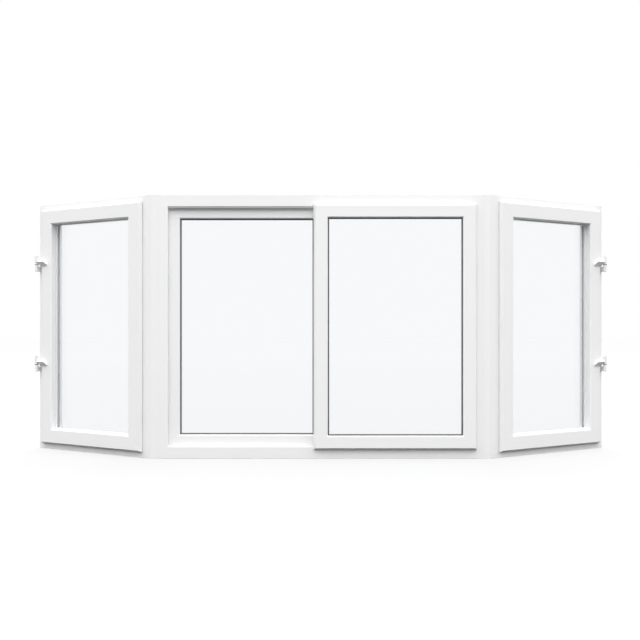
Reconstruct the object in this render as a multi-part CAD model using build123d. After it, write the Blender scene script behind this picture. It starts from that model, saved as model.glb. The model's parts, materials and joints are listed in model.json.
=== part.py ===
from build123d import *
import math
import os

# A three-sided bay window in white uPVC. Millimetres, +Z up, the street on the -Y side.
# The origin is the middle of the underside of the centre frame. The side frames turn back
# from the centre frame at the two corner posts, towards the wall that the bay stands in.

# ---- overall sizes ----
height = 1200.0          # all three frames
centre_width = 1500.0    # centre frame, end face to end face
side_width = 694.0       # each side frame, end face to end face
depth = 70.0             # all frames, street face to room face
bay_angle = 30.0         # how far each side frame turns back
post_back = 7.2          # width of a corner post's narrow edge on the room side

# ---- frame profiles ----
arris = 2.0              # small bevel on a frame's inner edge
centre_face = 55.0       # centre frame, visible width on the street side
groove_floor = 38.0      # centre frame, outer edge to the floor of the recessed sash's groove
back_lip_face = 50.0     # centre frame's room-side lip, measured from its outer edge
lip_gap = 2.0            # between the recessed sash and the lips in front of it and behind it
side_face = 43.0         # side frame, width up to the casement's rebate
stop_width = 15.0        # side frame's stop, which the casement closes against
stop_depth = 12.0

# ---- sashes ----
proud = 20.0             # a sash face stands this far out of its frame's face
edge_width = 9.0         # wide outer bevel round every sash, across
edge_depth = 15.0        # and deep
bead_bevel = 4.0         # small bevel along the glass
seat_gap = 0.3           # between a sash's flange and the frame that it closes on
groove_width = 6.0       # shadow groove under the flange's edge
groove_depth = 3.0
body_gap = 4.0           # round a sash's body, inside its frame
slide_overlap = 14.0     # sliding sash over the centre frame
slide_rail = 65.0        # sliding and recessed sash, outline to glass opening
slide_thickness = 38.0
leaf_gap = 5.0           # between the two sliding leaves
meeting_overlap = 66.0   # their meeting stiles, one behind the other
casement_overlap = 18.0  # casement over its frame
casement_rail = 74.0     # casement, outline to glass opening
casement_gap = 2.0       # between a casement's room face and the stop

# ---- glazing ----
pane = 4.0
slide_cavity = 8.0           # between the two panes
slide_glass_back = 14.0      # from the sash face to the outer pane
slide_rebate = 15.0          # how far the glass rebate runs into the rail
casement_cavity = 16.0
casement_glass_back = 34.0
casement_rebate = 18.0
glass_edge_gap = 5.0         # glass edge to the floor of the rebate
gasket_thick = 4.0
gasket_show = 6.0            # how far a gasket shows past the rail
gasket_seat = 8.0            # how far it runs back behind the rail
gasket_rise = 3.0            # its lip stands this far up the rail's edge
spacer_width = 8.0
bead_nose = 2.0              # a bead reaches this far past the rail's edge
bead_slope = 5.0
mitre_gap = 0.15             # at the corners of the loose beads

# ---- tracks ----
track_width = 5.0
track_end_gap = 1.0          # at each end of the front tracks

# ---- corner post covers ----
cover_thick = 2.0
cover_lap = 10.0             # onto each frame

# ---- hinges ----
hinge_heights = (414.0, 905.0)   # joint between the two knuckles
pin_beyond = 15.0                # pin axis past the casement's outline
pin_above = 10.0                 # pin axis above the casement's face
knuckle_radius = 8.5
upper_knuckle = 40.0
lower_knuckle = 34.0
knuckle_gap = 0.6
pin_radius = 3.5
pin_clearance = 0.05
pin_head = 2.0
flag_length = 63.0               # flag, across the stile
flag_top = 27.0                  # above the knuckle joint
flag_bottom = 10.0               # and below it
flag_nose = 18.0                 # how far it stands out of the casement's face
flag_nose_height = 13.0          # its sharp edge, above the knuckle joint
flag_taper = 22.0                # length of its sloping end
flag_tip = 2.0                   # height of that end, above the knuckle joint
frame_leaf_thick = 3.0
frame_leaf_web = 8.0
frame_leaf_inset = 1.0           # from the edges of the strip of frame that it lies on

# ---- room-side furniture ----
handle_height = 600.0
base_width, base_height, base_thick = 20.0, 70.0, 8.0
neck_radius, neck_length = 7.0, 22.0
lever_width, lever_length, lever_thick = 16.0, 118.0, 9.0
pull_width, pull_height, pull_thick = 22.0, 120.0, 8.0

overshoot = 1.0                  # how far a shape that cuts or joins runs past the other one

# ---- worked out ----
half_turn = math.radians(bay_angle / 2)
post_front = post_back / 2 / math.cos(half_turn) + depth * math.tan(half_turn)
corner_x = centre_width / 2 + post_front
slide_margin = centre_face - slide_overlap
casement_margin = side_face - casement_overlap
slide_width = (centre_width - 2 * slide_margin + meeting_overlap) / 2
slide_height = height - 2 * slide_margin
casement_width = side_width - 2 * casement_margin
casement_height = height - 2 * casement_margin
casement_thickness = proud + depth - stop_depth - casement_gap
recess = slide_thickness + leaf_gap
lip_depth = recess - proud - lip_gap
back_lip_front = recess - proud + slide_thickness + lip_gap


def prism(points, travel):
    """The flat polygon through these points, pushed along a vector."""
    return Solid.extrude(Face(Wire.make_polygon(points, close=True)), Vector(*travel))


def slab(low, high):
    """A plain block between two opposite corners."""
    size = [b - a for a, b in zip(low, high)]
    return Solid.make_box(*size).moved(Location(low))


def bar(section, length, end_gap=0.0):
    """A straight bar along +X with its ends cut at 45 degrees. The section's points are
    (inward, depth), where inward is +Z and depth is +Y. end_gap pulls both cuts back."""
    reach = max(u for u, _ in section) + overshoot
    front = min(d for _, d in section) - overshoot
    back = max(d for _, d in section) + overshoot
    straight = prism([(0, d, u) for u, d in section], (length, 0, 0))
    cut = [(end_gap - overshoot, front, -overshoot), (length - end_gap + overshoot, front, -overshoot),
           (length - end_gap - reach, front, reach), (end_gap + reach, front, reach)]
    return (straight & prism(cut, (0, back - front, 0))).solids()[0]


def four_bars(section, width, tall, end_gap=0.0):
    """Bottom, right, top and left bars of a rectangle with its lower left corner at the origin."""
    x, z = Vector(1, 0, 0), Vector(0, 0, 1)
    starts = [(Vector(0, 0, 0), x, z, width), (Vector(width, 0, 0), z, x * -1, tall),
              (Vector(width, 0, tall), x * -1, z * -1, width), (Vector(0, 0, tall), z * -1, x, tall)]
    return [bar(section, length, end_gap).moved(Location(Plane(origin=start, x_dir=along, z_dir=inward)))
            for start, along, inward, length in starts]


def ring(section, width, tall):
    """The same four bars joined into one piece."""
    bottom, right, top, left = four_bars(section, width, tall)
    return (bottom + right + top + left).solids()


def rectangle_ring(outer_edge, inner_edge, front, back, width, tall):
    """A flat ring of plain rectangular section."""
    outer = slab((outer_edge, front, outer_edge), (width - outer_edge, back, tall - outer_edge))
    inner = slab((inner_edge, front - overshoot, inner_edge),
                 (width - inner_edge, back + overshoot, tall - inner_edge))
    return (outer - inner).solids()


# ---- frames ----
centre_section = [
    (0, 0), (centre_face - arris, 0), (centre_face, arris), (centre_face, lip_depth),
    (groove_floor, lip_depth), (groove_floor, back_lip_front),
    (back_lip_face, back_lip_front), (back_lip_face, depth), (0, depth),
]
side_section = [
    (0, 0), (side_face - arris, 0), (side_face, arris), (side_face, depth - stop_depth),
    (side_face + stop_width, depth - stop_depth), (side_face + stop_width, depth), (0, depth),
]


def frame(name, section, width):
    """Sill, jambs and head, mitred where their corners are welded."""
    sill, right, head, left = four_bars(section, width, height)
    return {f"{name}_sill": [sill], f"{name}_head": [head], f"{name}_jambs": [left, right]}


# ---- sashes ----
def sash_section(rail, thickness, overlap, glass_back, rebate):
    """A sash's rail, seen from its end: (0, 0) is its outline, level with the frame's face."""
    body = overlap + body_gap
    lip_back = glass_back - gasket_thick - proud
    room_face = thickness - proud
    return [
        (0, edge_depth - proud), (edge_width, -proud), (rail - bead_bevel, -proud),
        (rail, bead_bevel - proud), (rail, lip_back), (rail - rebate, lip_back),
        (rail - rebate, room_face), (body, room_face), (body, -seat_gap),
        (groove_width, -seat_gap), (groove_width, -groove_depth), (0, -groove_depth),
    ]


def sash(name, width, tall, rail, thickness, overlap, glass_back, cavity, rebate):
    """A complete glazed sash with its outline's lower left corner at the origin."""
    bottom, right, top, left = four_bars(
        sash_section(rail, thickness, overlap, glass_back, rebate), width, tall)
    glass_front = glass_back - proud
    glass_room = glass_front + 2 * pane + cavity
    room_face = thickness - proud
    edge = rail - rebate + glass_edge_gap

    def sheet(front):
        return slab((edge, front, edge), (width - edge, front + pane, tall - edge))

    lip_back = glass_front - gasket_thick
    gasket = [
        (rail - gasket_seat, lip_back), (rail, lip_back), (rail, lip_back - gasket_rise),
        (rail + bead_nose, lip_back - gasket_rise), (rail + gasket_show, glass_front - bead_nose),
        (rail + gasket_show, glass_front), (rail - gasket_seat, glass_front),
    ]
    bead = [
        (rail - rebate, glass_room), (rail + bead_nose, glass_room), (rail + bead_nose, glass_room + bead_nose),
        (rail + bead_nose - bead_slope, room_face), (rail - rebate, room_face),
    ]
    return {
        f"{name}_rails": [bottom, top],
        f"{name}_stiles": [left, right],
        f"{name}_glass": [sheet(glass_front), sheet(glass_front + pane + cavity)],
        f"{name}_spacer": rectangle_ring(edge, edge + spacer_width, glass_front + pane,
                                         glass_front + pane + cavity, width, tall),
        f"{name}_gasket": ring(gasket, width, tall),
        f"{name}_beads": four_bars(bead, width, tall, mitre_gap),
    }


def sliding_leaf(name):
    """One of the two equal leaves of the centre frame."""
    return sash(name, slide_width, slide_height, slide_rail, slide_thickness, slide_overlap,
                slide_glass_back, slide_cavity, slide_rebate)


# ---- tracks for the two sliding leaves, inside the centre frame ----
def tracks():
    """Two low rails on the sill and two on the head, each just clear of its leaf."""
    inside = centre_face + track_end_gap
    body_back = slide_thickness - proud
    body_edge = slide_margin + slide_overlap + body_gap
    front = (body_back - track_width) / 2
    flange = recess - proud + edge_depth
    low = [
        slab((inside, front, centre_face), (centre_width - inside, front + track_width, body_edge - seat_gap)),
        slab((groove_floor, flange, groove_floor),
             (centre_width - groove_floor, flange + track_width, slide_margin - seat_gap)),
    ]
    high = [piece.mirror(Plane.XY.offset(height / 2)) for piece in low]
    return {"sill_tracks": low, "head_tracks": high}


# ---- hinges, in the side frame's own coordinates ----
def hinge(joint_height):
    """One flag hinge: sash leaf, frame leaf and pin."""
    outline = side_width - casement_margin
    axis_x = outline + pin_beyond
    axis_y = -proud - pin_above
    bottom = joint_height - lower_knuckle
    top = joint_height + upper_knuckle

    def post(radius, low, high):
        return Solid.make_cylinder(radius, high - low).moved(Location((axis_x, axis_y, low)))

    hole = post(pin_radius + pin_clearance, bottom - overshoot, top + overshoot)
    flag_end = axis_x - flag_length
    side_view = [
        (axis_x, -proud, joint_height + flag_top),
        (axis_x, -proud - flag_nose, joint_height + flag_nose_height),
        (axis_x, -proud, joint_height - flag_bottom),
    ]
    front_view = [
        (flag_end, 0, joint_height - flag_bottom), (outline, 0, joint_height - flag_bottom),
        (outline, 0, joint_height + knuckle_gap), (axis_x, 0, joint_height + knuckle_gap),
        (axis_x, 0, joint_height + flag_top), (flag_end + flag_taper, 0, joint_height + flag_top),
        (flag_end, 0, joint_height + flag_tip),
    ]
    flag = prism(side_view, (-flag_length, 0, 0)) & prism(front_view, (0, -proud - flag_nose, 0))
    sash_leaf = (flag + post(knuckle_radius, joint_height + knuckle_gap, top)) - hole
    plate = slab((outline + frame_leaf_inset, -frame_leaf_thick, bottom),
                 (side_width - frame_leaf_inset, 0, joint_height - flag_bottom))
    web = slab((axis_x - frame_leaf_web / 2, axis_y, bottom),
               (axis_x + frame_leaf_web / 2, 0, joint_height - flag_bottom))
    frame_leaf = (plate + web + post(knuckle_radius, bottom, joint_height)) - hole
    pin = post(pin_radius, bottom - pin_head, top + pin_head)
    return sash_leaf.solids(), frame_leaf.solids(), [pin]


def hinges(name):
    """Both hinges of a casement, with the like pieces of the two together."""
    leaves, frame_leaves, pins = [], [], []
    for joint_height in hinge_heights:
        leaf, frame_leaf, pin = hinge(joint_height)
        leaves += leaf
        frame_leaves += frame_leaf
        pins += pin
    return {f"{name}_hinge_flags": leaves, f"{name}_hinge_frame_leaves": frame_leaves,
            f"{name}_hinge_pins": pins}


# ---- room-side furniture ----
def casement_handle():
    """A lever on the stile beside the corner post, closed, so it points down."""
    middle = casement_margin + casement_overlap + stop_width + base_width / 2 + seat_gap
    face = casement_thickness - proud
    neck_back = face + base_thick + neck_length
    base = slab((middle - base_width / 2, face, handle_height - base_height / 2),
                (middle + base_width / 2, face + base_thick, handle_height + base_height / 2))
    neck = Solid.make_cylinder(neck_radius, neck_length + overshoot).moved(
        Location(Plane(origin=(middle, face + base_thick - overshoot, handle_height), z_dir=(0, 1, 0))))
    grip = slab((middle - lever_width / 2, neck_back - lever_thick, handle_height - lever_length),
                (middle + lever_width / 2, neck_back, handle_height + lever_width / 2))
    return (base + neck + grip).solids()


def sliding_pull():
    """A pull on the room face of the sliding sash's outer stile."""
    right = centre_width - slide_margin - slide_overlap - body_gap
    face = slide_thickness - proud
    middle = right - (slide_rail - slide_rebate - slide_overlap - body_gap) / 2
    block = slab((middle - pull_width / 2, face, handle_height - pull_height / 2),
                 (middle + pull_width / 2, face + pull_thick, handle_height + pull_height / 2))
    return [block]


# ---- placing ----
centre = Location((-centre_width / 2, -depth / 2, 0))
turned = math.radians(bay_angle)
side = Location(Plane(
    origin=(corner_x + post_front * math.cos(turned), -depth / 2 + post_front * math.sin(turned), 0),
    x_dir=(math.cos(turned), math.sin(turned), 0), z_dir=(0, 0, 1)))


def placed(pieces, where):
    """The same named pieces, moved to a place."""
    return {name: [solid.moved(where) for solid in solids] for name, solids in pieces.items()}


def in_plan(along, back):
    """A point on the side frame's plan, as (x, y), from its near end."""
    point = (side * Location((along, back, 0))).position
    return point.X, point.Y


def strip(points):
    """A piece of full height with this plan."""
    return prism([(x, y, 0) for x, y in points], (0, 0, height))


def corner():
    """Right-hand corner post with its two cover strips."""
    front, back, edge = -depth / 2, depth / 2, centre_width / 2
    post = strip([(edge, front), (corner_x, front), in_plan(0, 0), in_plan(0, depth), (edge, back)])
    bend_out = cover_thick * math.tan(half_turn)
    outer = strip([
        (edge - cover_lap, front), (corner_x, front), in_plan(cover_lap, 0),
        in_plan(cover_lap, -cover_thick), (corner_x + bend_out, front - cover_thick),
        (edge - cover_lap, front - cover_thick),
    ])
    inner_bend = corner_x - depth * math.tan(half_turn)
    inner = strip([
        (edge - cover_lap, back), (edge, back), in_plan(0, depth), in_plan(cover_lap, depth),
        in_plan(cover_lap, depth + cover_thick), (inner_bend - bend_out, back + cover_thick),
        (edge - cover_lap, back + cover_thick),
    ])
    return post, outer, inner


def mirrored(solids):
    """The left-hand twins of right-hand pieces."""
    return [solid.mirror(Plane.YZ) for solid in solids]


nodes = {}
nodes.update(placed(frame("centre_frame", centre_section, centre_width), centre))
nodes.update(placed(tracks(), centre))
sliding_at = Location((centre_width - slide_margin - slide_width, 0, slide_margin))
recessed_at = Location((slide_margin, recess, slide_margin))
nodes.update(placed(sliding_leaf("sliding_sash"), centre * sliding_at))
nodes.update(placed(sliding_leaf("recessed_sash"), centre * recessed_at))
nodes.update(placed({"sliding_sash_pull": sliding_pull()}, centre))

casement_at = side * Location((casement_margin, 0, casement_margin))
right_side = placed(frame("frame", side_section, side_width), side)
right_side.update(placed(sash("casement", casement_width, casement_height, casement_rail, casement_thickness,
                              casement_overlap, casement_glass_back, casement_cavity, casement_rebate),
                         casement_at))
right_side.update(placed(hinges("casement"), side))
right_side.update(placed({"casement_handle": casement_handle()}, side))
corner_post, outer_cover, inner_cover = corner()
right_side["corner_post"] = [corner_post]
for piece, solids in right_side.items():
    nodes[f"right_{piece}"] = solids
    nodes[f"left_{piece}"] = mirrored(solids)
nodes["outer_post_covers"] = [outer_cover] + mirrored([outer_cover])
nodes["inner_post_covers"] = [inner_cover] + mirrored([inner_cover])

os.makedirs("parts", exist_ok=True)
for name, solids in nodes.items():
    whole = solids[0] if len(solids) == 1 else Compound(children=list(solids))
    export_step(whole, f"parts/{name}.step")
print(len(nodes), "nodes")
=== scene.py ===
# %% [markdown]
# # A three-sided bay window in white plastic
# A wide centre frame with two sliding sashes stands between two narrower frames that are turned
# back towards the wall and hold a hinged casement each. The solid model is loaded first and stays
# fixed. It has every piece at its true size, but with sharp edges and no finish. Most of what
# follows makes the same pieces again as they leave the workshop: extruded bars with small rounded
# edges, welded at their mitres. Each new piece stands for the plain one.

# %% Load the fixed model
import json
import math

import bmesh
import bpy
import numpy as np
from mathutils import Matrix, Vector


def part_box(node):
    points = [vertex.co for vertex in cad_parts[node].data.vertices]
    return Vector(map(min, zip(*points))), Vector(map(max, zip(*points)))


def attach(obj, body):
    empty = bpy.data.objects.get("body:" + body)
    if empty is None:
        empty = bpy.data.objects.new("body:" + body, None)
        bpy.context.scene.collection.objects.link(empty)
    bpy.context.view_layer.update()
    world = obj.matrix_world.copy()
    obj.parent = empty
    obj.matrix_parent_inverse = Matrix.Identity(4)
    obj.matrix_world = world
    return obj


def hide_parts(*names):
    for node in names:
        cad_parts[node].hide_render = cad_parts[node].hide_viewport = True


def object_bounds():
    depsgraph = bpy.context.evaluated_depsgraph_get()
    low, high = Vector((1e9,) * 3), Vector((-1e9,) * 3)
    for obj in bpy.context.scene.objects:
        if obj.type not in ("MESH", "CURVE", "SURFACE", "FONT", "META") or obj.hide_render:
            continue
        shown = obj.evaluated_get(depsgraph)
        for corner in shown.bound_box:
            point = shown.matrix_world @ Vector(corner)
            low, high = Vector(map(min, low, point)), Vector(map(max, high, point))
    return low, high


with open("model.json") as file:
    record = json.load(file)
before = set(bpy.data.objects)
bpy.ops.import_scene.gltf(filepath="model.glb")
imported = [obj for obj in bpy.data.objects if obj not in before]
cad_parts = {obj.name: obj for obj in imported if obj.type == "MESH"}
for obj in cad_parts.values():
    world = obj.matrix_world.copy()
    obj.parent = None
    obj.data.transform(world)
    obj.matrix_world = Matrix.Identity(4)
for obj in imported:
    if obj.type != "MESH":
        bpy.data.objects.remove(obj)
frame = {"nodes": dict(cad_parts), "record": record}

nodes = frame["nodes"]
mounts = {mount["name"]: mount for mount in frame["record"]["mounts"]}
slots = {part["node"]: part["material_slot"] for part in frame["record"]["subparts"]}
cad_low, cad_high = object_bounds()
print("model box", [round(value, 4) for value in (*cad_low, *cad_high)])

# %% [markdown]
# ## Camera
# The bay is seen square on, from the street. The camera stands level with the middle of its height,
# so its uprights stay upright. A long lens from further off would flatten the two side frames, and
# a shorter one would make them flare, so lens and distance are chosen together. A tiny shift
# centres the view without tilting it, which would make the uprights lean.

# %% Place the camera
street_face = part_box("centre_frame_head")[0].y
mid_height = cad_high.z / 2
camera_distance = 3.913
camera_data = bpy.data.cameras.new("camera")
camera_data.sensor_width = 36.0
camera_data.lens = 48.43
camera_data.shift_x = -0.00125
camera_data.shift_y = 0.0103
camera_data.clip_end = 80.0
camera = bpy.data.objects.new("camera", camera_data)
camera.location = (0.0, street_face - camera_distance, mid_height)
camera.rotation_euler = (math.pi / 2, 0.0, 0.0)
scene = bpy.context.scene
scene.collection.objects.link(camera)
scene.camera = camera
scene.view_settings.view_transform = "Standard"
print("camera", camera_distance, "m in front of the centre frame")

# %% [markdown]
# ## A short way to write shader nodes
# Every finish below is a small graph of shader nodes. Written out in full, a node takes five or six
# lines. One helper makes a node, sets its options and fills its inputs, from plain values or from
# the output sockets of other nodes.

# %% Node helper
def node(tree, kind, inputs=None, **options):
    """Adds one shader node. inputs maps socket names or numbers to values or to sockets."""
    made = tree.nodes.new("ShaderNode" + kind)
    for name, value in options.items():
        setattr(made, name, value)
    for key, value in (inputs or {}).items():
        if isinstance(value, bpy.types.NodeSocket):
            tree.links.new(value, made.inputs[key])
        else:
            made.inputs[key].default_value = value
    return made


def seen_directly(tree):
    """1 for rays from the camera, a mirror-like surface or through glass, and 0 for soft light."""
    path = node(tree, "LightPath")
    camera_or_gloss = node(tree, "Math", {0: path.outputs["Is Camera Ray"],
                                          1: path.outputs["Is Glossy Ray"]}, operation="MAXIMUM")
    return node(tree, "Math", {0: camera_or_gloss.outputs[0],
                               1: path.outputs["Is Transmission Ray"]}, operation="MAXIMUM").outputs[0]


print("node helper ready")

# %% [markdown]
# ## Studio
# A white object on white is shown by its shadows alone, so the light has to be soft but come
# clearly from above. The world gives soft light that is weak at the horizon and strongest from 38
# to 58 degrees up, like a tent of cloth with a dark skirt, so each ledge keeps a shadow under it.
# It comes from all round, which keeps the turned frames nearly as bright as the centre. Straight
# overhead it is weaker again, to spare the ledges. To the eye and in reflections the world is pure
# white, whatever light it gives.

# %% World
white = (1, 1, 1, 1)
skirt_level = 0.30
tent_level = 2.88
crown_share = 0.25
skirt_top, tent_foot, tent_head, crown_edge = np.sin(np.radians((12.0, 38.0, 58.0, 78.0)))
studio = bpy.data.worlds.new("studio")
scene.world = studio
studio.use_nodes = True
sky = studio.node_tree
sky.nodes.clear()
upward = node(sky, "SeparateXYZ", {0: node(sky, "TexCoord").outputs["Generated"]}).outputs[2]
tent = node(sky, "MapRange", {"Value": upward, "From Min": skirt_top, "From Max": tent_foot,
                              "To Min": skirt_level, "To Max": tent_level},
            interpolation_type="SMOOTHSTEP")
crown = node(sky, "MapRange", {"Value": upward, "From Min": tent_head, "From Max": crown_edge,
                               "To Min": 1.0, "To Max": crown_share},
             interpolation_type="SMOOTHSTEP")
soft_level = node(sky, "Math", {0: tent.outputs[0], 1: crown.outputs[0]}, operation="MULTIPLY")
fill = node(sky, "Background", {"Color": white, "Strength": soft_level.outputs[0]})
backdrop = node(sky, "Background", {"Color": white, "Strength": 1.0})
sky_mix = node(sky, "MixShader", {0: seen_directly(sky), 1: fill.outputs[0], 2: backdrop.outputs[0]})
node(sky, "OutputWorld", {0: sky_mix.outputs[0]})
print("soft light from", skirt_level, "at the horizon to", tent_level, "in the tent")

# %% [markdown]
# ### Softboxes
# The world alone would light head and sill alike. A large softbox high in front adds to it and falls
# off a little towards the sill, and another one behind lights the room side.

# %% Softboxes
def softbox(name, azimuth, elevation, distance, width, level):
    """A square lamp that looks at the middle of the bay. level is how bright it would make a white
    card that faces it there: power = level * pi^2 * distance^2 for a square lamp."""
    lamp = bpy.data.lights.new(name, "AREA")
    lamp.size = width
    lamp.energy = level * math.pi ** 2 * distance ** 2
    around, up = math.radians(azimuth), math.radians(elevation)
    held = bpy.data.objects.new(name, lamp)
    held.location = (distance * math.sin(around) * math.cos(up),
                     street_face - distance * math.cos(around) * math.cos(up),
                     mid_height + distance * math.sin(up))
    held.rotation_euler = (math.pi / 2 - up, 0, around)
    scene.collection.objects.link(held)
    print(name, round(lamp.energy), "W")


softbox("key_softbox", azimuth=0, elevation=60, distance=8.0, width=6.0, level=0.36)
softbox("room_softbox", azimuth=180, elevation=50, distance=11.0, width=9.0, level=0.30)

# %% [markdown]
# ## Floor
# The floor is plain and pale. A real white floor would throw so much light up under the rails that
# their shadows would vanish, so soft light finds it grey, while the camera sees it white with the
# window's shadow on it. Through the glass it mostly glows like the world behind, and a little more
# so with distance, or its far edge would draw a line across the panes.

# %% Floor with two answers
floor_drop = 0.0005
floor_reach = 40.0
grey_for_light = 0.07
glow_for_eye = 0.66
grey_for_eye = 0.16
glow_for_glass = (0.95, 0.98)
glow_span = (2.0, 12.0)
grey_for_glass = 0.01


def matt(tree, level):
    """A matt grey shader."""
    return node(tree, "BsdfDiffuse", {"Color": (level, level, level, 1)})


floor_mesh = bpy.data.meshes.new("floor")
floor_corners = np.array([(-1, -1), (1, -1), (1, 1), (-1, 1)]) * floor_reach
floor_points = np.column_stack([floor_corners, np.full(4, cad_low.z - floor_drop)])
floor_mesh.from_pydata(floor_points.tolist(), [], [(0, 1, 2, 3)])
floor = bpy.data.objects.new("floor", floor_mesh)
scene.collection.objects.link(floor)
floor_paint = bpy.data.materials.new("floor_paint")
floor_paint.use_nodes = True
paint = floor_paint.node_tree
paint.nodes.clear()
for_light = matt(paint, grey_for_light)
pale_glow = node(paint, "Emission", {"Color": white, "Strength": glow_for_eye})
shaded_white = matt(paint, grey_for_eye)
for_eye = node(paint, "AddShader", {0: pale_glow.outputs[0], 1: shaded_white.outputs[0]})
way_off = node(paint, "VectorMath", {0: node(paint, "TexCoord").outputs["Object"]}, operation="LENGTH")
paling = node(paint, "MapRange", {"Value": way_off.outputs["Value"],
                                  "From Min": glow_span[0], "From Max": glow_span[1],
                                  "To Min": glow_for_glass[0], "To Max": glow_for_glass[1]})
glow = node(paint, "Emission", {"Color": white, "Strength": paling.outputs[0]})
faint_shade = matt(paint, grey_for_glass)
for_glass = node(paint, "AddShader", {0: glow.outputs[0], 1: faint_shade.outputs[0]})
eye_mix = node(paint, "MixShader", {0: seen_directly(paint), 1: for_light.outputs[0],
                                    2: for_eye.outputs[0]})
through = node(paint, "LightPath").outputs["Is Transmission Ray"]
floor_mix = node(paint, "MixShader", {0: through, 1: eye_mix.outputs[0], 2: for_glass.outputs[0]})
node(paint, "OutputMaterial", {0: floor_mix.outputs[0]})
floor_mesh.materials.append(floor_paint)
print("floor", 2 * floor_reach, "m wide, in", len(paint.nodes), "nodes")

# %% [markdown]
# ## Panels
# Three flat frames meet at angles. Working in world coordinates would fill every formula with
# sines and cosines. Instead each frame gets axes of its own: along its sill, from the street to the
# room, and up. A shape is worked out once in those axes and carried to its place at the end.
# The right and left frames' directions are those of the mounting faces at their far ends.

# %% The three sets of axes
def mesh_arrays(name):
    """Corner points and triangles of a model node, as arrays."""
    mesh = nodes[name].data
    points = np.empty(len(mesh.vertices) * 3)
    mesh.vertices.foreach_get("co", points)
    mesh.calc_loop_triangles()
    triangles = np.empty(len(mesh.loop_triangles) * 3, dtype=int)
    mesh.loop_triangles.foreach_get("vertices", triangles)
    return points.reshape(-1, 3), triangles.reshape(-1, 3)


def panel(along, members):
    """Axes of one flat frame, with its origin at the near, street-side, lowest corner of members."""
    east, north, _ = along
    back = np.array((-north, east, 0.0))
    back *= math.copysign(1, back[1])
    axes = np.array([along, back, (0, 0, 1)])
    points = np.vstack([mesh_arrays(name)[0] for name in members]) @ axes.T
    return {"axes": axes, "origin": points.min(0)}


def into(points, where):
    """World points in a panel's own axes."""
    return points @ where["axes"].T - where["origin"]


def out_of(points, where):
    """A panel's own points in the world. The axes are at right angles, so this undoes into()."""
    return (points + where["origin"]) @ where["axes"]


def extent(names, where):
    """Lowest and highest corner of some nodes, in a panel's own axes."""
    points = np.vstack([into(mesh_arrays(name)[0], where) for name in names])
    return points.min(0), points.max(0)


directions = {"centre": (1.0, 0.0, 0.0), "right": tuple(mounts["right_end"]["axis"]),
              "left": tuple(mounts["left_end"]["axis"])}
panels = {}
for side, along in directions.items():
    members = [f"{side}_frame_sill", f"{side}_frame_jambs"]
    panels[side] = panel(along, members)
    low, high = extent(members, panels[side])
    print(side, "frame", np.round(high - low, 4), "m")

# %% [markdown]
# ## Reading a section off the model
# Plastic window bars are extruded: one section, pushed out of a die in long lengths. The model's
# bars are cut at 45 degrees where they meet, and the cut face shows the section. It could be typed
# in again from a drawing, but reading it from the cut face keeps every new bar inside the old one.
# On that face the distance along the bar equals the distance inward, so one test finds its corners.

# %% Sections from cut faces
weld_distance = 1e-5
plane_slack = weld_distance * 3
straight_below = 0.01


def loop_on(points, triangles, on_plane):
    """The corners, in order, of the flat face that fills a plane of a solid. An edge that only one
    of the face's triangles uses lies on its rim, and following rim edges gives the loop."""
    _, first, same = np.unique(np.round(points / weld_distance), axis=0,
                               return_index=True, return_inverse=True)
    same = same.ravel()
    flat = same[triangles[on_plane[triangles].all(1)]]
    edges = np.concatenate([flat[:, [0, 1]], flat[:, [1, 2]], flat[:, [2, 0]]])
    used = {tuple(edge) for edge in edges.tolist()}
    rim = {a: b for a, b in used if (b, a) not in used}
    at = next(iter(rim))
    order = []
    for _ in rim:
        order.append(at)
        at = rim[at]
    return points[first[order]]


def without_straight(section):
    """The section without corners that lie on a straight edge."""
    before = section - np.roll(section, 1, 0)
    after = np.roll(section, -1, 0) - section
    turn = before[:, 0] * after[:, 1] - before[:, 1] * after[:, 0]
    size = np.linalg.norm(before, axis=1) * np.linalg.norm(after, axis=1)
    return section[np.abs(turn) > straight_below * size]


def read_section(name, outer, where, end_gap=0.0):
    """(inward, depth) corners of the bar whose lower left mitre starts at the corner outer, or
    end_gap further on."""
    points, triangles = mesh_arrays(name)
    points = into(points, where)
    across = points[:, 0] - outer[0]
    inward = points[:, 2] - outer[2]
    loop = loop_on(points, triangles, np.abs(across - inward - end_gap) < plane_slack)
    return without_straight(np.column_stack([loop[:, 2] - outer[2], loop[:, 1]]))


centre_low, centre_high = extent(["centre_frame_sill", "centre_frame_head"], panels["centre"])
centre_section = read_section("centre_frame_sill", centre_low, panels["centre"])
print("centre frame section, mm:", (centre_section * 1000).round(1).tolist())

# %% [markdown]
# ## Rounded edges
# No extruded edge is sharp, and the thin line of light on a rounded edge is what makes a white
# profile read as plastic. A bevel modifier could cut the edges, but rounding the section before it
# is swept costs a few points and gives exact arcs. Each corner is swapped for an arc that touches
# both its edges, with a smaller radius where an edge is too short.

# %% Round a section
edge_radius = 0.0012
edge_share = 0.45


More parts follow.
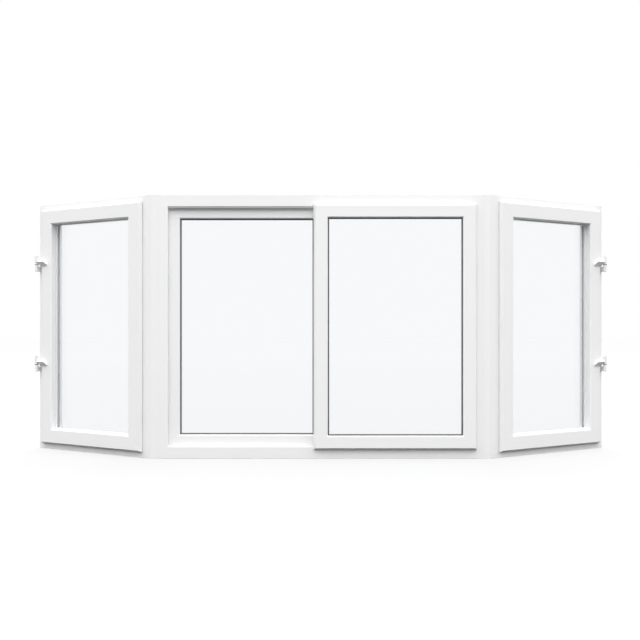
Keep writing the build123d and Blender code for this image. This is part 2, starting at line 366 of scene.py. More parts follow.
def rounded(section, radius, steps=4):
    """Swaps each corner for an arc. With t = radius * tan(turn / 2), the arc starts t before the
    corner and ends t after it, and t is at most edge_share of either edge."""
    before = np.roll(section, 1, 0) - section
    after = np.roll(section, -1, 0) - section
    length_before = np.linalg.norm(before, axis=1, keepdims=True)
    length_after = np.linalg.norm(after, axis=1, keepdims=True)
    before, after = before / length_before, after / length_after
    half_turn = (math.pi - np.arccos(np.clip((before * after).sum(1, keepdims=True), -1, 1))) / 2
    room = edge_share * np.minimum(length_before, length_after)
    tangent = np.minimum(radius * np.tan(half_turn), room)
    arc_radius = tangent / np.tan(half_turn)
    middle = before + after
    middle /= np.linalg.norm(middle, axis=1, keepdims=True)
    centre = section + middle * arc_radius / np.cos(half_turn)
    sweep = np.linspace(-1, 1, steps + 1) * half_turn
    aside = after - (after * middle).sum(1, keepdims=True) * middle
    aside /= np.linalg.norm(aside, axis=1, keepdims=True)
    arc = (centre[:, None] - middle[:, None] * (arc_radius * np.cos(sweep))[..., None]
           + aside[:, None] * (arc_radius * np.sin(sweep))[..., None])
    return arc.reshape(-1, 2)


def shrunk(section, by):
    """The section with every point moved by that much towards its solid side."""
    run = np.roll(section, -1, 0) - np.roll(section, 1, 0)
    run /= np.linalg.norm(run, axis=1, keepdims=True)
    turned = np.column_stack([-run[:, 1], run[:, 0]])
    following = np.roll(section, -1, 0)
    area = (section[:, 0] * following[:, 1] - section[:, 1] * following[:, 0]).sum()
    return section + turned * math.copysign(by, area)


print(len(centre_section), "corners become", len(rounded(centre_section, edge_radius)), "points")

# %% [markdown]
# ## From rings of points to a piece
# A loft joins rings of points with quads. It suits nearly everything on a window, because a bar, a
# seal, a knob and a lever are all a closed section carried along a path. Every loft gets a UV map
# in metres, along the path and around the section, so a finish can run with the bar. The volume
# tells whether the faces point outwards: a negative one means that they must be turned round.

# %% Loft
def lofted(rings, joined_ends=False):
    """Quads between rings of shape (ring, point, 3), with flat ends unless the last ring joins the
    first. Returns points, faces and one UV for each face corner."""
    rows, columns = rings.shape[:2]
    index = np.arange(rows * columns).reshape(rows, columns)
    ring_after = np.roll(index, -1, 0) if joined_ends else index[1:]
    ring_here = index if joined_ends else index[:-1]
    quads = np.stack([ring_here, np.roll(ring_here, -1, 1), np.roll(ring_after, -1, 1), ring_after], -1)
    path = np.linalg.norm(np.diff(np.concatenate([rings, rings[:1]]), axis=0), axis=2).mean(1)
    along = np.concatenate([[0], np.cumsum(path)])
    girth = np.linalg.norm(np.diff(np.concatenate([rings, rings[:, :1]], 1), axis=1), axis=2).mean(0)
    around = np.concatenate([[0], np.cumsum(girth)])
    count = len(ring_here)
    u = np.broadcast_to(np.stack([along[:count], along[:count], along[1:count + 1],
                                  along[1:count + 1]], -1)[:, None], quads.shape)
    v = np.broadcast_to(np.stack([around[:-1], around[1:], around[1:], around[:-1]], -1)[None],
                        quads.shape)
    faces = quads.reshape(-1, 4).tolist()
    uv = np.stack([u, v], -1).reshape(-1, 2)
    if not joined_ends:
        faces += [index[0, ::-1].tolist(), index[-1].tolist()]
        ends = np.tile(np.column_stack([np.zeros(columns), around[:-1]]), (2, 1))
        uv = np.concatenate([uv, ends])
    points = rings.reshape(-1, 3)
    if signed_volume(points, faces) < 0:
        uv = turned_uv(faces, uv)
        faces = [face[::-1] for face in faces]
    return points, faces, uv


def signed_volume(points, faces):
    """Sum of a . (b x c) / 6 over a fan of triangles in every face."""
    fans = np.array([(face[0], face[k], face[k + 1]) for face in faces for k in range(1, len(face) - 1)])
    a, b, c = points[fans[:, 0]], points[fans[:, 1]], points[fans[:, 2]]
    return (a * np.cross(b, c)).sum() / 6


def turned_uv(faces, uv):
    """The UVs in the order of faces whose corners run the other way."""
    ends = np.cumsum([len(face) for face in faces])
    order = np.concatenate([np.arange(end - 1, end - len(face) - 1, -1) for end, face in zip(ends, faces)])
    return uv[order]


unit_square = np.array([(0, 0, 0), (1, 0, 0), (1, 1, 0), (0, 1, 0)])
cube_points, cube_faces, _ = lofted(np.stack([unit_square, unit_square + (0, 0, 1)]))
print("a cube lofted for a check:", len(cube_faces), "faces,", signed_volume(cube_points, cube_faces), "m3")

# %% Piece
smooth_below = math.radians(32)


def flat_faces_flat(made):
    """Leans the normals to the larger faces, so that flat faces look flat beside rounded edges."""
    weighted = made.modifiers.new("flat_faces_flat", "WEIGHTED_NORMAL")
    weighted.keep_sharp = True


def piece(name, lofts, material, replaces=()):
    """Puts lofts into one mesh object that rides on the window. Edges that turn less than
    smooth_below are shaded smooth."""
    points, faces, uvs = [], [], []
    total = 0
    for loft_points, loft_faces, loft_uv in lofts:
        points.append(loft_points)
        faces += [[corner + total for corner in face] for face in loft_faces]
        uvs.append(loft_uv)
        total += len(loft_points)
    mesh = bpy.data.meshes.new(name)
    mesh.from_pydata(np.vstack(points).tolist(), [], faces)
    mesh.uv_layers.new(name="UVMap").data.foreach_set("uv", np.vstack(uvs).ravel())
    mesh.materials.append(material)
    mesh.shade_smooth()
    mesh.set_sharp_from_angle(angle=smooth_below)
    made = bpy.data.objects.new(name, mesh)
    scene.collection.objects.link(made)
    flat_faces_flat(made)
    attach(made, "root")
    if replaces:
        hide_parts(*replaces)
    litres = signed_volume(np.vstack(points), faces) * 1000
    print(f"{name}: {len(faces)} faces, {litres:.3f} litres")


print("edges under", round(math.degrees(smooth_below)), "degrees are shaded smooth")

# %% [markdown]
# ## Finishes
# Nine finishes cover the window. None is a flat colour: extruded plastic has faint die lines along
# the bar and a fine skin, rubber has a grain, aluminium shows how it was rolled or drawn, and
# powder coat has an orange-peel surface. The lines that follow a bar read the UV map, whose u is
# metres along it. Grain without a direction reads the object's own coordinates. All of it stays
# very faint, being under a millimetre on an object almost 3 m wide.

# %% Building blocks for finishes
def finish(name, **values):
    """A new material with one Principled shader. Returns the material, its tree and the shader."""
    made = bpy.data.materials.new(name)
    made.use_nodes = True
    tree = made.node_tree
    shader = tree.nodes["Principled BSDF"]
    for socket, value in values.items():
        shader.inputs[socket.replace("_", " ")].default_value = value
    return made, tree, shader


def grain(tree, source, scale, stretch=(1.0, 1.0, 1.0), detail=2.0):
    """Noise from 0 to 1. scale is in features per metre, and stretch multiplies each direction."""
    coordinates = node(tree, "TexCoord")
    mapping = node(tree, "Mapping", {"Vector": coordinates.outputs[source], "Scale": stretch})
    return node(tree, "TexNoise", {"Vector": mapping.outputs[0], "Scale": scale,
                                   "Detail": detail}).outputs["Fac"]


def roughness(tree, shader, amount, low, high):
    """Feeds the shader's roughness with a 0 to 1 amount, spread over low to high."""
    spread = node(tree, "MapRange", {"Value": amount, "To Min": low, "To Max": high})
    tree.links.new(spread.outputs[0], shader.inputs["Roughness"])


def tint(tree, shader, amount, dark, light):
    """Feeds the shader's colour with a blend of two colours by an amount."""
    blend = node(tree, "Mix", {"Factor": amount}, data_type="RGBA")
    blend.inputs[6].default_value = (*dark, 1)
    blend.inputs[7].default_value = (*light, 1)
    tree.links.new(blend.outputs[2], shader.inputs["Base Color"])


def relief(tree, shader, *layers):
    """Stacks bumps, each an (amount, depth in metres) pair, and feeds the shader's normal."""
    normal = None
    for amount, bump_depth in layers:
        inputs = {"Height": amount, "Distance": bump_depth, "Strength": 1.0}
        if normal is not None:
            inputs["Normal"] = normal
        normal = node(tree, "Bump", inputs).outputs[0]
    tree.links.new(normal, shader.inputs["Normal"])


finishes = {}


def keep(slot, made):
    """Files a material under the slot that it finishes."""
    finishes[slot] = made
    print(f"{slot}: {made.name}, {len(made.node_tree.nodes)} nodes")


print("building blocks ready")

# %% [markdown]
# ### White plastic
# Window plastic is a satin white with a trace of warmth. The die leaves lines along each bar, less
# than a hundredth of a millimetre deep, and cooling leaves a slow waviness. Both show only where
# light grazes the surface. The colour drifts by less than one part in a hundred, which the eye
# reads as a real surface and not as dirt.

# %% White plastic
plastic, tree, shader = finish("white_plastic", IOR=1.5)
die_lines = grain(tree, "UV", 1.0, stretch=(1.5, 900.0, 1.0), detail=3.0)
skin = grain(tree, "Object", 700.0)
cooling = grain(tree, "UV", 1.0, stretch=(7.0, 22.0, 1.0), detail=1.0)
cloud = grain(tree, "Object", 5.0)
tint(tree, shader, cloud, (0.858, 0.860, 0.862), (0.882, 0.882, 0.880))
roughness(tree, shader, die_lines, 0.27, 0.39)
relief(tree, shader, (cooling, 0.00006), (die_lines, 0.000012), (skin, 0.000006))
keep("upvc", plastic)

# %% [markdown]
# ### Seals, spacers and tracks
# Window seals are extruded rubber, matt, with a fine grain and a little bloom that makes them paler
# in patches. The sliding sashes have them in dark grey and the casements in pale grey. The spacer
# between two panes is bent from a thin strip of bright aluminium, with fine lines from the rolls.
# The tracks are drawn aluminium, with lines along their length.

# %% Rubber
def seal_rubber(name, dark, light):
    """Matt rubber whose colour drifts from dark to light with its bloom."""
    rubber, tree, shader = finish(name, IOR=1.5)
    pores = grain(tree, "Object", 1500.0, detail=4.0)
    bloom = grain(tree, "UV", 1.0, stretch=(30.0, 400.0, 1.0), detail=3.0)
    tint(tree, shader, bloom, dark, light)
    roughness(tree, shader, pores, 0.58, 0.82)
    relief(tree, shader, (pores, 0.00004))
    return rubber


keep("gasket", seal_rubber("dark_rubber", (0.060, 0.062, 0.065), (0.110, 0.112, 0.115)))
keep("pale_gasket", seal_rubber("pale_rubber", (0.74, 0.74, 0.74), (0.82, 0.82, 0.82)))

# %% Rolled spacer strip
strip, tree, shader = finish("spacer_strip", Metallic=1.0)
roll_lines = grain(tree, "UV", 1.0, stretch=(12.0, 1800.0, 1.0))
patches = grain(tree, "UV", 1.0, stretch=(40.0, 90.0, 1.0))
tint(tree, shader, roll_lines, (0.86, 0.87, 0.88), (0.94, 0.945, 0.95))
roughness(tree, shader, patches, 0.46, 0.62)
relief(tree, shader, (roll_lines, 0.00001))
keep("spacer", strip)

# %% Drawn aluminium
drawn, tree, shader = finish("drawn_aluminium", Metallic=1.0)
draw_lines = grain(tree, "UV", 1.0, stretch=(4.0, 2600.0, 1.0), detail=4.0)
handling = grain(tree, "Object", 18.0, detail=3.0)
tint(tree, shader, draw_lines, (0.66, 0.67, 0.68), (0.80, 0.81, 0.82))
roughness(tree, shader, handling, 0.26, 0.42)
relief(tree, shader, (draw_lines, 0.00002))
keep("track", drawn)

# %% [markdown]
# ### Hardware
# Hinges and handles are powder coated to match the plastic: sprayed dust that melts into a skin
# with a fine, even orange peel. The hinge pins are turned steel, left bare, with rings from the
# lathe that run round them. Object coordinates serve for both, since their height is along Z.

# %% Powder coat and turned steel
def powder_coat(name, dark, light, peel_scale):
    """Satin coat with an orange-peel surface, in a colour that drifts from dark to light."""
    coat, tree, shader = finish(name, IOR=1.5)
    peel = grain(tree, "Object", peel_scale)
    drift = grain(tree, "Object", 60.0)
    tint(tree, shader, drift, dark, light)
    roughness(tree, shader, peel, 0.24, 0.36)
    relief(tree, shader, (peel, 0.00005))
    return coat


keep("hinge", powder_coat("hinge_coat", (0.815, 0.818, 0.820), (0.850, 0.850, 0.850), 520.0))
keep("handle", powder_coat("handle_coat", (0.835, 0.838, 0.840), (0.865, 0.865, 0.862), 420.0))

steel, tree, shader = finish("turned_steel", Metallic=1.0)
rings = grain(tree, "Object", 1.0, stretch=(60.0, 60.0, 5200.0), detail=3.0)
tint(tree, shader, rings, (0.42, 0.42, 0.43), (0.60, 0.60, 0.61))
roughness(tree, shader, rings, 0.24, 0.40)
relief(tree, shader, (rings, 0.00002))
keep("hinge_pin", steel)

# %% [markdown]
# ### Glass
# Each sash holds two panes with a gap between them. A pane is clear, with a trace of green and
# blue that doubles in a pair. Rolling while hot leaves it slightly wavy, a few hundredths of a
# millimetre over a hand's width, which bends reflections but not the view. Light that only passes
# through would need many samples to find its way past four surfaces, so for shadows alone the
# glass is plain tinted transparency.

# %% Glass
glass, tree, shader = finish("window_glass", Roughness=0.0, IOR=1.5, Transmission_Weight=1.0,
                             Base_Color=(0.960, 0.969, 0.978, 1))
rolling = grain(tree, "Object", 1.0, stretch=(7.0, 7.0, 4.0), detail=1.0)
relief(tree, shader, (rolling, 0.00003))
clear = node(tree, "BsdfTransparent", {"Color": (0.88, 0.89, 0.90, 1)})
shadow_only = node(tree, "LightPath").outputs["Is Shadow Ray"]
glass_mix = node(tree, "MixShader", {0: shadow_only, 1: shader.outputs[0], 2: clear.outputs[0]})
tree.links.new(glass_mix.outputs[0], tree.nodes["Material Output"].inputs[0])
keep("glass", glass)
for name, slot in slots.items():
    nodes[name].data.materials.clear()
    nodes[name].data.materials.append(finishes[slot])
print("every node of the model has a finish")

# %% [markdown]
# ## Welded bars
# The sills, jambs, heads, rails and stiles, and the loose beads that hold the glass, are all the
# same job: four bars round a rectangle, cut at 45 degrees. Modelling one and copying it would leave
# the lengths to fit by hand. Here the ends come from the section itself, because a point that lies
# further in simply starts later and stops earlier. Where two bars are welded, the molten plastic is
# trimmed off with a fine groove, made by pinching the last half millimetre of each bar.

# %% Bars round a rectangle
seam_width = 0.0005
seam_depth = 0.0003


def side_frame_of(low, high, side):
    """Start corner, direction, inward direction and length of one side, in (across, up)."""
    width, height = high[0] - low[0], high[2] - low[2]
    starts = {"bottom": ((low[0], low[2]), (1, 0), (0, 1), width),
              "right": ((high[0], low[2]), (0, 1), (-1, 0), height),
              "top": ((high[0], high[2]), (-1, 0), (0, -1), width),
              "left": ((low[0], high[2]), (0, -1), (1, 0), height)}
    start, along, inward, length = starts[side]
    return np.array(start), np.array(along), np.array(inward), length


def mitred_bar(section, low, high, side, where, end_gap=0.0):
    """Carries a section (inward u, depth d) along one side of a rectangle. A point sits at
    start + along * t + inward * u, and t runs from u to length - u, so the ends are at 45 degrees."""
    start, along, inward, length = side_frame_of(low, high, side)
    pinched = shrunk(section, seam_depth)
    stations = [(pinched, end_gap, 0), (section, end_gap + seam_width, 0),
                (section, end_gap + seam_width, 1), (pinched, end_gap, 1)]
    rings = []
    for shape, gap, far_end in stations:
        t = shape[:, 0] + gap
        t = length - t if far_end else t
        flat = start + t[:, None] * along + shape[:, :1] * inward
        rings.append(np.column_stack([flat[:, 0], shape[:, 1], flat[:, 1]]))
    return lofted(out_of(np.array(rings), where))


def bars(name, model, section, rectangle, sides, where, end_gap=0.0):
    """One plastic piece with the bars of a node, on the named sides of its rectangle."""
    low, high = rectangle
    lofts = [mitred_bar(section, low, high, side, where, end_gap) for side in sides]
    piece(name, lofts, plastic, replaces=[model])


print("weld seam", seam_width * 2000, "mm wide and", seam_depth * 1000, "mm deep")

# %% [markdown]
# ## The three frames
# Each frame is a sill, a head and two jambs of one section. Sill and head are pieces of their own,
# and the jambs share one, as they do in the solid model.

# %% Sills, heads and jambs
for side, where in panels.items():
    rectangle = extent([f"{side}_frame_sill", f"{side}_frame_head"], where)
    section = rounded(read_section(f"{side}_frame_sill", rectangle[0], where), edge_radius)
    for part, sides in (("sill", ["bottom"]), ("head", ["top"]), ("jambs", ["left", "right"])):
        model = f"{side}_frame_{part}"
        bars(f"{model}_bars", model, section, rectangle, sides, where)

# %% [markdown]
# ## Four glazed sashes
# A sash is a lighter frame that holds the glass. Its bar has a wide outer bevel, a step that closes
# against the frame, and a rebate that the glass unit drops into from the room. The two sliding
# leaves are alike and the two casements mirror each other, so one loop dresses all four. The beads
# clip in last, from the room side, without welding, so hairline gaps stay at their corners.

# %% Rails, stiles and beads
bead_gap = 0.00015
sash_panels = {"sliding_sash": "centre", "recessed_sash": "centre",
               "right_casement": "right", "left_casement": "left"}
all_round = ["bottom", "right", "top", "left"]
rail_edges = {}
for sash, side in sash_panels.items():
    where = panels[side]
    rectangle = extent([f"{sash}_rails", f"{sash}_stiles"], where)
    corners = read_section(f"{sash}_rails", rectangle[0], where)
    section = rounded(corners, edge_radius)
    rail_edges[sash] = corners[:, 0].max() + rectangle[0][0]
    for part, sides in (("rails", ["bottom", "top"]), ("stiles", ["left", "right"])):
        bars(f"{sash}_{part}_bars", f"{sash}_{part}", section, rectangle, sides, where)
    rectangle = extent([f"{sash}_beads"], where)
    section = rounded(read_section(f"{sash}_beads", rectangle[0], where, bead_gap), edge_radius)
    bars(f"{sash}_bead_strips", f"{sash}_beads", section, rectangle, all_round, where, bead_gap)

# %% [markdown]
# ## Seals
# A rubber seal closes the joint between rail and glass. Its foot is trapped behind the rail, and
# its lip leans on the pane. It runs round the opening as one loop, so the loft's last ring is
# joined to its first. Only the lip shows, as a thin dark line, and that line is what outlines the
# glass, so its shape matters: it swells where it leaves the rail and thins towards the pane.

# %% Rings of seal
def ring_bounds(name, where):
    """Lowest and highest corner of a rectangular ring, and how wide its bars are. A point's distance
    inward is its least distance from the four outer sides."""
    points = into(mesh_arrays(name)[0], where)
    low, high = points.min(0), points.max(0)
    inward = np.minimum(points - low, high - points)[:, [0, 2]].min(1)
    return low, high, inward.max()


def ring_loft(section, low, high, where):
    """Carries a section (inward u, depth d) round a rectangle: each corner's ring lies at u from
    both its sides, which mitres the corner."""
    u, depth = section.T
    rings = [np.column_stack([low[0] + u, depth, low[2] + u]),
             np.column_stack([high[0] - u, depth, low[2] + u]),
             np.column_stack([high[0] - u, depth, high[2] - u]),
             np.column_stack([low[0] + u, depth, high[2] - u])]
    return lofted(out_of(np.array(rings), where), joined_ends=True)


lip_swell = 0.0010
lip_radius = 0.0007
foot_share = 0.57
crest, waist, waist_share = 0.28, 0.62, 0.42
for sash, side in sash_panels.items():
    where = panels[side]
    low, high, width = ring_bounds(f"{sash}_gasket", where)
    front, back = low[1], high[1]
    foot_front = back - foot_share * (back - front)
    edge = rail_edges[sash] - low[0]
    lip = width - edge
    outline = np.array([
        (0, foot_front), (edge, foot_front), (edge, front + lip_swell / 2),
        (edge + crest * lip, front), (edge + waist * lip, front + waist_share * (back - front)),
        (width, back - lip_swell), (width, back), (0, back),
    ])
    piece(f"{sash}_seal", [ring_loft(rounded(outline, lip_radius), low, high, where)],
          finishes[slots[f"{sash}_gasket"]], replaces=[f"{sash}_gasket"])

# %% [markdown]
# ## Spacers
# The spacer keeps the two panes apart and is seen edge on, just inside the seal, when the window is
# looked at from an angle. It is a hollow strip with slanted shoulders on its outer side, where the
# sealant grips. Its holes, under a millimetre wide, are too small to show and are left out.

# %% Rings of spacer
shoulder = 0.3
strip_radius = 0.0004
for sash, side in sash_panels.items():
    where = panels[side]
    low, high, width = ring_bounds(f"{sash}_spacer", where)
    front, back = low[1], high[1]
    slant = (back - front) * shoulder / 2
    outline = np.array([(0, front + slant), (width * shoulder, front), (width, front),
                        (width, back), (width * shoulder, back), (0, back - slant)])
    piece(f"{sash}_spacer_bar", [ring_loft(rounded(outline, strip_radius), low, high, where)], strip,
          replaces=[f"{sash}_spacer"])

# %% [markdown]
# ## Corner posts and their covers
# Two frames that meet at an angle leave a wedge between them. A post of full height fills it, and a
# thin bent strip covers the joints on each face. All of them are extrusions that stand upright, so
# their plan is read from the model's top face and carried up. The two ends are pinched a little,
# because a sawn end is always cleaned with a small chamfer.

# %% Upright extrusions
end_chamfer = 0.0004


def plan_of(name, side_sign):
    """(east, north) corners of a node's top face, on the right where side_sign is 1."""
    points, triangles = mesh_arrays(name)
    top = np.abs(points[:, 2] - points[:, 2].max()) < plane_slack
    loop = loop_on(points, triangles, top & (points[:, 0] * side_sign > 0))
    return without_straight(loop[:, :2])


def upright(name, side_sign):
    """A plan with rounded corners, carried from the bottom of a node to its top."""
    plan = rounded(plan_of(name, side_sign), edge_radius)
    low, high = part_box(name)
    pinched = shrunk(plan, end_chamfer)
    stations = [(pinched, low.z), (plan, low.z + end_chamfer), (plan, high.z - end_chamfer),
                (pinched, high.z)]
    rings = [np.column_stack([shape, np.full(len(shape), height)]) for shape, height in stations]
    return lofted(np.array(rings))


for side, side_sign in (("right", 1), ("left", -1)):
    model = f"{side}_corner_post"
    piece(f"{side}_post", [upright(model, side_sign)], plastic, replaces=[model])
for face in ("outer", "inner"):
    model = f"{face}_post_covers"
    piece(f"{face}_cover_strips", [upright(model, side_sign) for side_sign in (1, -1)], plastic,
          replaces=[model])

# %% [markdown]
# ## Tracks
# The sliding leaves ride on low aluminium rails, and the same rails guide them at the head. A
# drawn rail has a rounded top, so that a wheel meets it in a line. Each solid of the model's track
# nodes gives one rail. The solids are told apart by spreading the smallest corner number along
# triangle edges, until every corner of a solid carries the same one.

# %% Rails from separate solids
def separate(name, where):
    """The lowest and highest corner of each solid in a node, in a panel's own axes."""
    points, triangles = mesh_arrays(name)
    points = into(points, where)
    _, same = np.unique(np.round(points / weld_distance), axis=0, return_inverse=True)
    same = same.ravel()
    linked = same[triangles]
    label = np.arange(same.max() + 1)
    settled = False
    while not settled:
        before = label.copy()
        np.minimum.at(label, linked, np.repeat(label[linked].min(1)[:, None], 3, 1))
        settled = (label == before).all()
    of_point = label[same]
    groups = [points[of_point == number] for number in np.unique(of_point)]
    return [(group.min(0), group.max(0)) for group in groups]


rail_radius = 0.0016
for end in ("sill", "head"):
    lofts = []
    for low, high in separate(f"{end}_tracks", panels["centre"]):
        outline = np.array([(low[1], low[2]), (high[1], low[2]), (high[1], high[2]), (low[1], high[2])])
        outline = rounded(outline, rail_radius, steps=6)
        rings = [np.column_stack([np.full(len(outline), across), outline]) for across in (low[0], high[0])]
        lofts.append(lofted(out_of(np.array(rings), panels["centre"])))
    piece(f"{end}_rails_drawn", lofts, drawn, replaces=[f"{end}_tracks"])

# %% [markdown]
# ## Casement hinges
# Each casement turns on two flag hinges, called so because the leaf on the sash stands out like a
# flag from its barrel. The model's leaves have the right shape, with a wedge that throws a strong
# shadow on the stile, and lack only the soft edges of a cast and coated leaf. So this is the place
# for a modifier: each leaf is copied, its loose triangles are merged, and a bevel rounds its edges.

# %% Soften a cast piece
cast_radius = 0.0009
flat_limit = math.radians(1)
soft_above = math.radians(40)


def softened(name, model):
    """A merged copy of a model node, with its flat faces whole again and its edges rounded."""
    points, triangles = mesh_arrays(model)
    mesh = bpy.data.meshes.new(name)
    mesh.from_pydata(points.tolist(), [], triangles.tolist())
    work = bmesh.new()
    work.from_mesh(mesh)
    bmesh.ops.remove_doubles(work, verts=work.verts, dist=weld_distance)
    bmesh.ops.dissolve_limit(work, angle_limit=flat_limit, verts=work.verts, edges=work.edges)
    work.to_mesh(mesh)
    work.free()
    mesh.materials.append(finishes["hinge"])
    mesh.shade_smooth()
    made = bpy.data.objects.new(name, mesh)
    scene.collection.objects.link(made)
    bevel = made.modifiers.new("soft_edges", "BEVEL")
    bevel.width = cast_radius
    bevel.segments = 3
    bevel.limit_method = "ANGLE"
    bevel.angle_limit = soft_above
    flat_faces_flat(made)
    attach(made, "root")
    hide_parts(model)
    print(f"{name}: {len(mesh.polygons)} faces before its edges are rounded")


for side in ("right", "left"):
    softened(f"{side}_flags", f"{side}_casement_hinge_flags")
    softened(f"{side}_frame_leaves", f"{side}_casement_hinge_frame_leaves")

# %% [markdown]
# ### Pins, collars and screws
# The pin is turned on a lathe, so it is a profile carried round an axis: the easiest of all lofts,
# with each ring a circle. The same function makes the dark nylon collar that the two knuckles turn
# on, and the screws that hold the leaf to the frame. A screw's recess has to be real, since it
# catches a shadow: it is a four-armed dimple, made by pushing part of the head's inner rings in.

# %% Turned pieces
round_points = 48


def turned(profile, foot, direction, aside, lobes=0.0, lobe_rings=()):
    """A profile of (radius, height) carried round an axis. Point = foot + direction * height
    + radius * (aside cos a + third sin a). In lobe_rings the radius is multiplied by
    1 + lobes * cos 4a, which gives the four arms of a screw's recess."""
    angle = np.linspace(0, 2 * math.pi, round_points, endpoint=False)
    third = np.cross(direction, aside)
    circle = np.cos(angle)[:, None] * aside + np.sin(angle)[:, None] * third
    arms = 1 + lobes * np.cos(4 * angle)
    rings = []
    for number, (radius, height) in enumerate(profile):
        reach = radius * (arms if number in lobe_rings else np.ones(round_points))
        rings.append(foot + direction * height + reach[:, None] * circle)
    return lofted(np.array(rings))


def in_world(local_direction, where):
    """A panel's own direction in the world."""
    return np.array(local_direction, dtype=float) @ where["axes"]


def upwards(name, where):
    """The corners of each solid in a node, lowest solid first."""
    return sorted(separate(name, where), key=lambda box: box[0][2])


pin_dome = 0.0014
tip_share = 0.35
dome_share, dome_rise = 0.75, 0.25
collar_height = 0.0040
collar_proud = 0.0001
collar_edge = 0.0003
up = np.array((0.0, 0.0, 1.0))
for side in ("right", "left"):
    where = panels[side]
    across = in_world((1, 0, 0), where)
    pin_lofts, collar_lofts = [], []
    pins, leaves, flags = [upwards(f"{side}_casement_hinge_{part}", where)
                           for part in ("pins", "frame_leaves", "flags")]
    for (low, high), (_, leaf_high), (_, flag_high) in zip(pins, leaves, flags):
        radius = (high[1] - low[1]) / 2
        middle = (low + high) / 2
        foot = out_of(np.array((middle[0], middle[1], low[2])), where)
        length = high[2] - low[2]
        profile = [(tip_share * radius, 0), (dome_share * radius, dome_rise * pin_dome),
                   (radius, pin_dome), (radius, length - pin_dome),
                   (dome_share * radius, length - dome_rise * pin_dome), (tip_share * radius, length)]
        pin_lofts.append(turned(profile, foot, up, across))
        knuckle = flag_high[0] - middle[0] + collar_proud
        joint = foot + up * (leaf_high[2] - low[2] - collar_height / 2)
        profile = [(knuckle - collar_edge, 0), (knuckle, collar_edge),
                   (knuckle, collar_height - collar_edge), (knuckle - collar_edge, collar_height)]
        collar_lofts.append(turned(profile, joint, up, across))
    piece(f"{side}_turned_pins", pin_lofts, steel, replaces=[f"{side}_casement_hinge_pins"])
    piece(f"{side}_hinge_collars", collar_lofts, finishes["gasket"])

# %% Screws in the frame leaves
screw_radius = 0.0024
screw_height = 0.0007
sunk = 0.0004
recess_height = screw_height - 0.0005
screw_profile = [(screw_radius, -sunk), (screw_radius, 0.3 * screw_height),
                 (0.82 * screw_radius, 0.85 * screw_height), (0.60 * screw_radius, screw_height),
                 (0.42 * screw_radius, screw_height), (0.30 * screw_radius, recess_height),
                 (0.05 * screw_radius, recess_height)]
recess_rings = (4, 5)
recess_lobes = 0.35
screw_spots = (0.25, 0.75)
leaf_foot = 0.0035
leaf_front = -0.003
top_margin = 0.010


def screw(foot, direction, aside):
    """A low domed head with a four-armed recess, sunk a little into what it holds."""
    return turned(screw_profile, foot, direction, aside, lobes=recess_lobes, lobe_rings=recess_rings)


for side in ("right", "left"):
    where = panels[side]
    across, street = in_world((1, 0, 0), where), in_world((0, -1, 0), where)
    lofts = []
    for low, high in separate(f"{side}_casement_hinge_frame_leaves", where):
        for share in screw_spots:
            height = low[2] + share * (high[2] - top_margin - low[2])
            spot = out_of(np.array((low[0] + leaf_foot, leaf_front, height)), where)
            lofts.append(screw(spot, street, across))
    piece(f"{side}_leaf_screws", lofts, steel)

# %% [markdown]
# ## Handles
# A casement handle is a base plate, a round neck and a lever that points down when it is closed.
# All three are one kind of surface: rings that change size and place along a path. The lever's
# ring is a superellipse, between an ellipse and a rectangle, because a bar of that section is
# comfortable to grip. It thins towards its tip and bends a little to suit a hand.

# %% Superellipse lofts
ring_points = 40
steepest = 0.47 * math.pi


def superellipse(half_width, half_height, power):
    """Points with |x / half_width|^power + |y / half_height|^power = 1."""
    angle = np.linspace(0, 2 * math.pi, ring_points, endpoint=False)
    cosine, sine = np.cos(angle), np.sin(angle)
    return np.column_stack([half_width * np.sign(cosine) * np.abs(cosine) ** (2 / power),
                            half_height * np.sign(sine) * np.abs(sine) ** (2 / power)])


def swelling(places, widths, heights, height_axis, power, where):
    """Superellipses of changing size along a path, in a panel's own axes. Their width runs across."""
    rings = []
    for place, width, height in zip(places, widths, heights):
        flat = superellipse(width, height, power)
        rings.append(place + flat[:, :1] * np.array((1, 0, 0)) + flat[:, 1:] * np.array(height_axis))
    return lofted(out_of(np.array(rings), where))


def path_of(across, depths, heights):
    """Points of a path. Any of the three may be one number for the whole path."""
    return np.column_stack(np.broadcast_arrays(across, depths, heights))


def dome_steps(count):
    """Pairs (share of the radius, share of the rise) along a quarter circle, from rim to top."""
    angle = np.linspace(0, steepest, count)
    return np.column_stack([np.cos(angle), np.sin(angle)])


print(ring_points, "points in each ring")

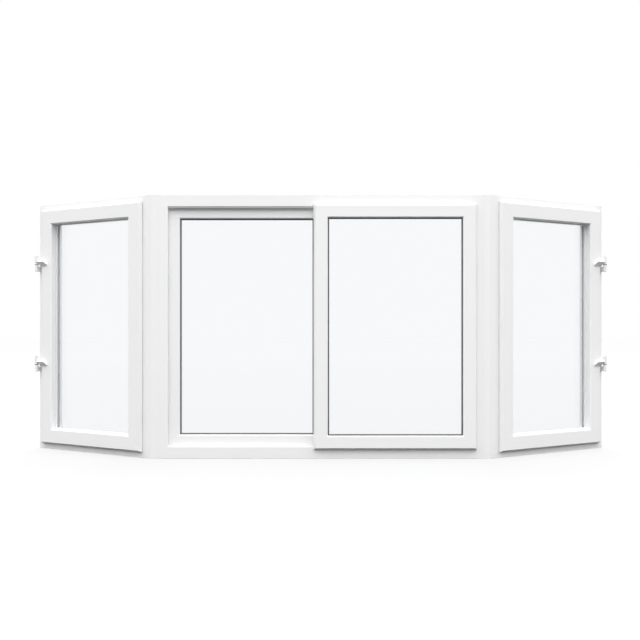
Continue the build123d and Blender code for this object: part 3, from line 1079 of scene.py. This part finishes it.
# %% Plate, neck and lever
plate_share, plate_edge, plate_tall = 0.27, 0.0025, 0.070
neck_rings, neck_radius, neck_flare, neck_short = 12, 0.0065, 0.0022, 0.003
lever_rings, lever_rise = 26, 0.008
lever_half_wide, lever_narrowing = 0.0078, 0.0018
lever_half_thick, lever_thinning = 0.0045, 0.0010
lever_back, lever_lean = 0.0046, 0.0030
end_power, end_least = 14, 0.0004
plate_power, neck_power, lever_power = 5.0, 2.0, 3.0
dome = dome_steps(6)
travel = np.linspace(0, 1, lever_rings)
flare = np.linspace(1, 0, neck_rings) ** 3
for side in ("right", "left"):
    where = panels[side]
    low, high = extent([f"{side}_casement_handle"], where)
    middle = (low[0] + high[0]) / 2
    half_plate = (high[0] - low[0]) / 2
    plate_thick = plate_share * (high[1] - low[1]) - plate_edge
    plate_middle = high[2] - plate_tall / 2
    depths = np.concatenate([[low[1]], low[1] + plate_thick + plate_edge * dome[:, 1]])
    inset = np.concatenate([[0], plate_edge * (1 - dome[:, 0])])
    plate = swelling(path_of(middle, depths, plate_middle), half_plate - inset, plate_tall / 2 - inset,
                     (0, 0, 1), plate_power, where)
    depths = np.linspace(low[1] + plate_thick, high[1] - neck_short, neck_rings)
    radii = neck_radius + neck_flare * flare
    neck = swelling(path_of(middle, depths, plate_middle), radii, radii, (0, 0, 1), neck_power, where)
    lever_top = plate_middle + lever_rise
    heights = lever_top - travel * (lever_top - low[2])
    ends = np.sqrt(np.clip(1 - np.abs(2 * travel - 1) ** end_power, end_least, 1))
    depths = high[1] - lever_back - lever_lean * np.sin(math.pi * travel) ** 2
    half_wide = (lever_half_wide - lever_narrowing * travel) * ends
    half_thick = (lever_half_thick - lever_thinning * travel) * ends
    lever = swelling(path_of(middle, depths, heights), half_wide, half_thick, (0, 1, 0), lever_power, where)
    piece(f"{side}_handle", [plate, neck, lever], finishes["handle"], replaces=[f"{side}_casement_handle"])

# %% [markdown]
# ### Pull of the sliding leaf
# The sliding leaf needs only something for the fingers. The pull is a rounded block with a hollow
# down its middle. One loft makes both: the rings run from the foot up over the rounded rim, and
# then inward and back down into the hollow.

# %% Finger pull
where = panels["centre"]
low, high = extent(["sliding_sash_pull"], where)
half_wide, half_tall = (high[0] - low[0]) / 2, (high[2] - low[2]) / 2
rise = high[1] - low[1]
rim, wall, pull_power = 0.0020, 0.0030, 6.0
hollow_inset = np.array([0.0, 0.0008, 0.0014, 0.0024])
hollow_drop = np.array([0.0, 0.0012, 0.00312, 0.0052])
dome = dome_steps(7)
insets = np.concatenate([[0], rim * (1 - dome[:, 0]), wall + hollow_inset])
depths = low[1] + np.concatenate([[0], rise - rim + rim * dome[:, 1], rise - hollow_drop])
path = path_of((low[0] + high[0]) / 2, depths, (low[2] + high[2]) / 2)
pull = swelling(path, half_wide - insets, half_tall - insets, (0, 0, 1), pull_power, where)
piece("finger_pull", [pull], finishes["handle"], replaces=["sliding_sash_pull"])
